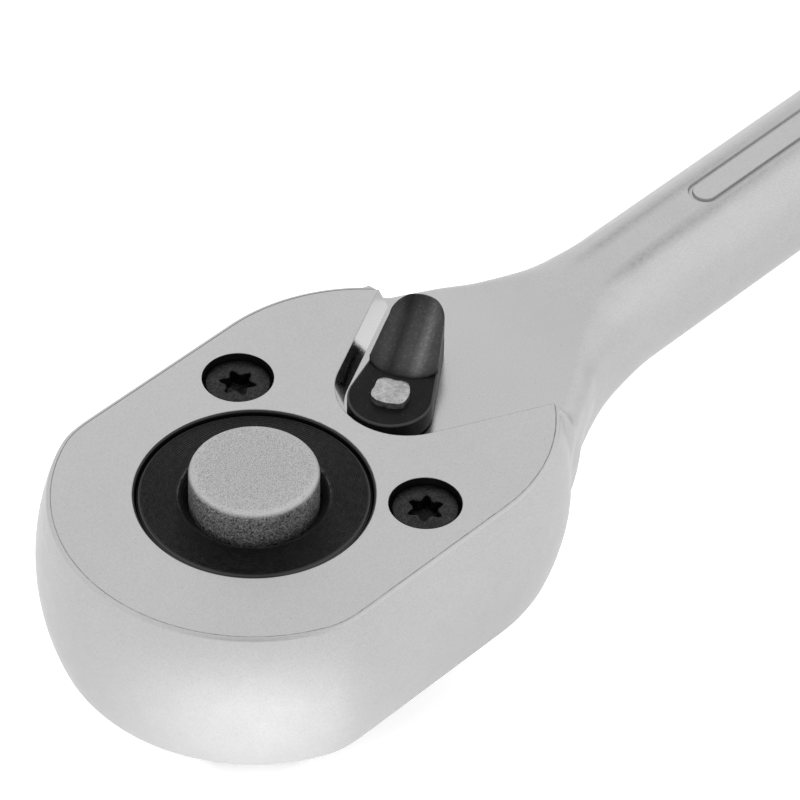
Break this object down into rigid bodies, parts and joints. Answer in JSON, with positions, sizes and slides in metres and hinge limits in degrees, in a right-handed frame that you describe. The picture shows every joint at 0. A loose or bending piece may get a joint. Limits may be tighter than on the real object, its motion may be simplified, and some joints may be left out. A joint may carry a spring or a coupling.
{
  "type": "ratchet wrench",
  "caption": "Reversible pear-head ratchet wrench with square drive, quick-release button, reversing lever and two-part grip.",
  "frame": {"origin": "on the drive axis, in the plane of the drive hub's end face that a socket seats against", "axes": "+X along the handle towards the hanging hole, +Z along the drive axis out of the button side"},
  "size_m": [0.2585, 0.0428, 0.0387],
  "materials": {
    "satin_chrome": "satin",
    "black_steel": "black oxide",
    "blasted_steel": "bead blasted",
    "bright_steel": "ground",
    "spring_steel": "drawn",
    "bronze": "plain",
    "black_lever": "satin",
    "seal_rubber": "plain",
    "hard_grip": "fine grain",
    "soft_grip": "matt"
  },
  "bodies": {
    "wrench_body": {"head_body": "satin_chrome", "cover_plate": "satin_chrome", "cover_screw_left": "black_steel", "cover_screw_right": "black_steel", "thrust_washer": "bronze", "pawl_pin": "bright_steel", "grip_core": "hard_grip", "grip_sleeve": "soft_grip", "end_cap": "hard_grip"},
    "drive": {"drive_gear": "black_steel", "release_spring": "spring_steel"},
    "release": {"release_button": "blasted_steel", "release_pin": "bright_steel"},
    "ball": {"detent_ball": "bright_steel"},
    "selector": {"selector_lever": "black_lever", "selector_shaft": "blasted_steel", "selector_seal": "seal_rubber", "pawl_plunger": "bright_steel", "plunger_spring": "spring_steel"},
    "pawl": {"pawl": "bright_steel"}
  },
  "joints": [
    {"name": "drive_turn", "type": "hinge", "parent": "wrench_body", "child": "drive", "pos_m": [0, 0, 0], "axis": [0, 0, 1], "continuous": true},
    {"name": "button_press", "type": "slide", "parent": "drive", "child": "release", "axis": [0, 0, -1], "range_m": [0, 0.0025], "stiffness_N_per_m": 900, "springref_m": -0.002, "deforming": ["release_spring"]},
    {"name": "ball_retract", "type": "slide", "parent": "drive", "child": "ball", "axis": [0.7071, 0.7071, 0], "range_m": [0, 0.0009]},
    {"name": "selector_turn", "type": "hinge", "parent": "wrench_body", "child": "selector", "pos_m": [0.02, 0, 0.0172], "axis": [0, 0, 1], "range_deg": [-55, 0]},
    {"name": "pawl_rock", "type": "hinge", "parent": "wrench_body", "child": "pawl", "pos_m": [0.0149, 0, 0.0106], "axis": [0, 0, 1], "range_deg": [0, 8]}
  ],
  "couplings": [
    {"joint": "ball_retract", "follows": "button_press", "ratio": 0.36},
    {"joint": "pawl_rock", "follows": "selector_turn", "ratio": -0.14545}
  ]
}
